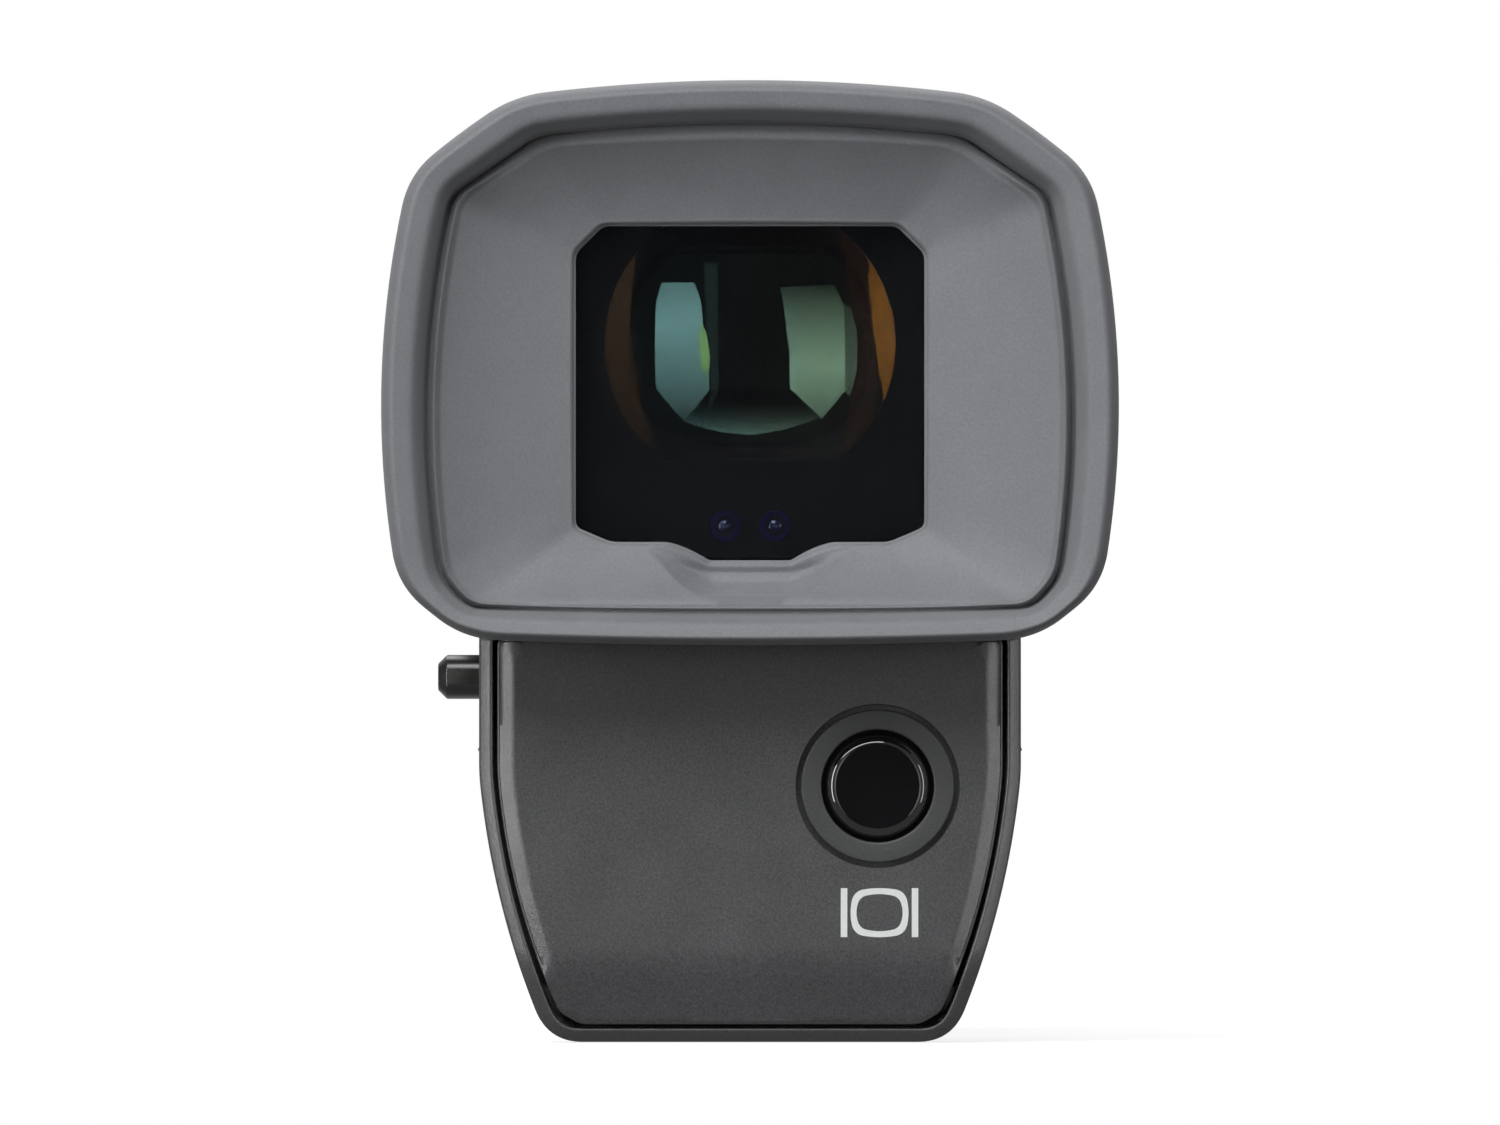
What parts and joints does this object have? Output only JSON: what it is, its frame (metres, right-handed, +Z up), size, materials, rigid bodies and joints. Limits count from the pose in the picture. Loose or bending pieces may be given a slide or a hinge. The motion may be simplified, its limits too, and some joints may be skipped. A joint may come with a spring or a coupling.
{
  "type": "electronic viewfinder",
  "caption": "Clip-on electronic viewfinder: lens head with a large rubber eyecup that tilts up on a shoe-mounted base with a hanging rear panel, a round button and a camera plug.",
  "frame": {"origin": "middle of the underside of the shoe foot", "axes": "+Z up, +Y from the eye towards the scene, +X to the right as the eye sees it"},
  "size_m": [0.037, 0.0478, 0.0484],
  "materials": {
    "eyecup_rubber": "matte, slightly soft sheen",
    "body_plastic": "fine-textured dark grey moulding",
    "ring_plastic": "satin black, fine turned groove",
    "button_gloss": "polished black",
    "inner_plastic": "light-trapping black",
    "dial_plastic": "black, ribbed edge",
    "window_glass": "clear hard-coated window",
    "sensor_gloss": "dark violet infrared plastic",
    "lens_glass": "coated, blue-green and amber reflections",
    "foot_steel": "satin plated steel",
    "screw_steel": "blackened steel",
    "lever_metal": "dark grey painted",
    "contact_brass": "gold-coloured plating",
    "flex_film": "amber film",
    "board": "green solder mask",
    "light_plastic": "white diffusing plastic"
  },
  "bodies": {
    "base": {"shoe_foot": "foot_steel", "shoe_screw_1": "screw_steel", "shoe_screw_2": "screw_steel", "shoe_screw_3": "screw_steel", "shoe_screw_4": "screw_steel", "base_housing": "body_plastic", "deck_cover": "body_plastic", "rear_plate": "body_plastic", "curtain_screw_left": "screw_steel", "curtain_screw_right": "screw_steel", "button_ring": "ring_plastic", "button_switch": "lever_metal", "base_board": "board", "connector_housing": "inner_plastic", "connector_shell": "foot_steel", "connector_contacts": "contact_brass", "lock_spring": "foot_steel", "hinge_bracket": "foot_steel", "hinge_flex": "flex_film", "friction_washer_left": "contact_brass", "friction_washer_right": "contact_brass"},
    "head": {"head_bottom_shell": "body_plastic", "head_top_shell": "body_plastic", "front_cover": "body_plastic", "head_screw_1": "screw_steel", "head_screw_2": "screw_steel", "head_screw_3": "screw_steel", "head_screw_4": "screw_steel", "hinge_pin_left": "foot_steel", "hinge_pin_right": "foot_steel", "hinge_cap_left": "body_plastic", "hinge_cap_right": "body_plastic", "eyepiece_frame": "inner_plastic", "eyecup": "eyecup_rubber", "window_panel": "window_glass", "window_mask": "inner_plastic", "eye_sensor_emitter": "sensor_gloss", "eye_sensor_receiver": "sensor_gloss", "sensor_board": "board", "optics_chassis": "inner_plastic", "display_frame": "inner_plastic", "display_panel": "lens_glass", "backlight": "light_plastic", "display_board": "board", "dial_washer": "foot_steel"},
    "lens_group": {"lens_barrel": "inner_plastic", "lens_retainer": "inner_plastic", "eye_lens": "lens_glass", "middle_lens": "lens_glass", "lens_spacer": "inner_plastic", "inner_lens": "lens_glass"},
    "dial": {"diopter_pinion": "foot_steel", "diopter_dial": "dial_plastic"},
    "button": {"display_button": "button_gloss", "switch_plunger": "light_plastic"},
    "lever": {"lock_lever": "lever_metal"},
    "pin": {"lock_pin": "foot_steel"}
  },
  "joints": [
    {"name": "head_tilt", "type": "hinge", "parent": "base", "child": "head", "pos_m": [0, 0.017, 0.011], "axis": [-1, 0, 0], "range_deg": [0, 90], "deforming": ["hinge_flex"]},
    {"name": "diopter_turn", "type": "hinge", "parent": "head", "child": "dial", "pos_m": [0.0157, -0.009, 0.0242], "axis": [1, 0, 0], "range_deg": [-26.2, 52.3]},
    {"name": "lens_focus", "type": "slide", "parent": "head", "child": "lens_group", "axis": [0, 1, 0], "range_m": [-0.00073, 0.00146]},
    {"name": "button_press", "type": "slide", "parent": "base", "child": "button", "axis": [0, 1, 0], "range_m": [0, 0.0005], "stiffness_N_per_m": 400},
    {"name": "lock_release", "type": "slide", "parent": "base", "child": "lever", "axis": [0, 1, 0], "range_m": [0, 0.002], "stiffness_N_per_m": 250},
    {"name": "lock_pin_lift", "type": "slide", "parent": "base", "child": "pin", "axis": [0, 0, 1], "range_m": [0, 0.001], "deforming": ["lock_spring"]}
  ],
  "couplings": [
    {"joint": "diopter_turn", "follows": "lens_focus", "rad_per_m": 625},
    {"joint": "lock_pin_lift", "follows": "lock_release", "ratio": 0.5}
  ]
}
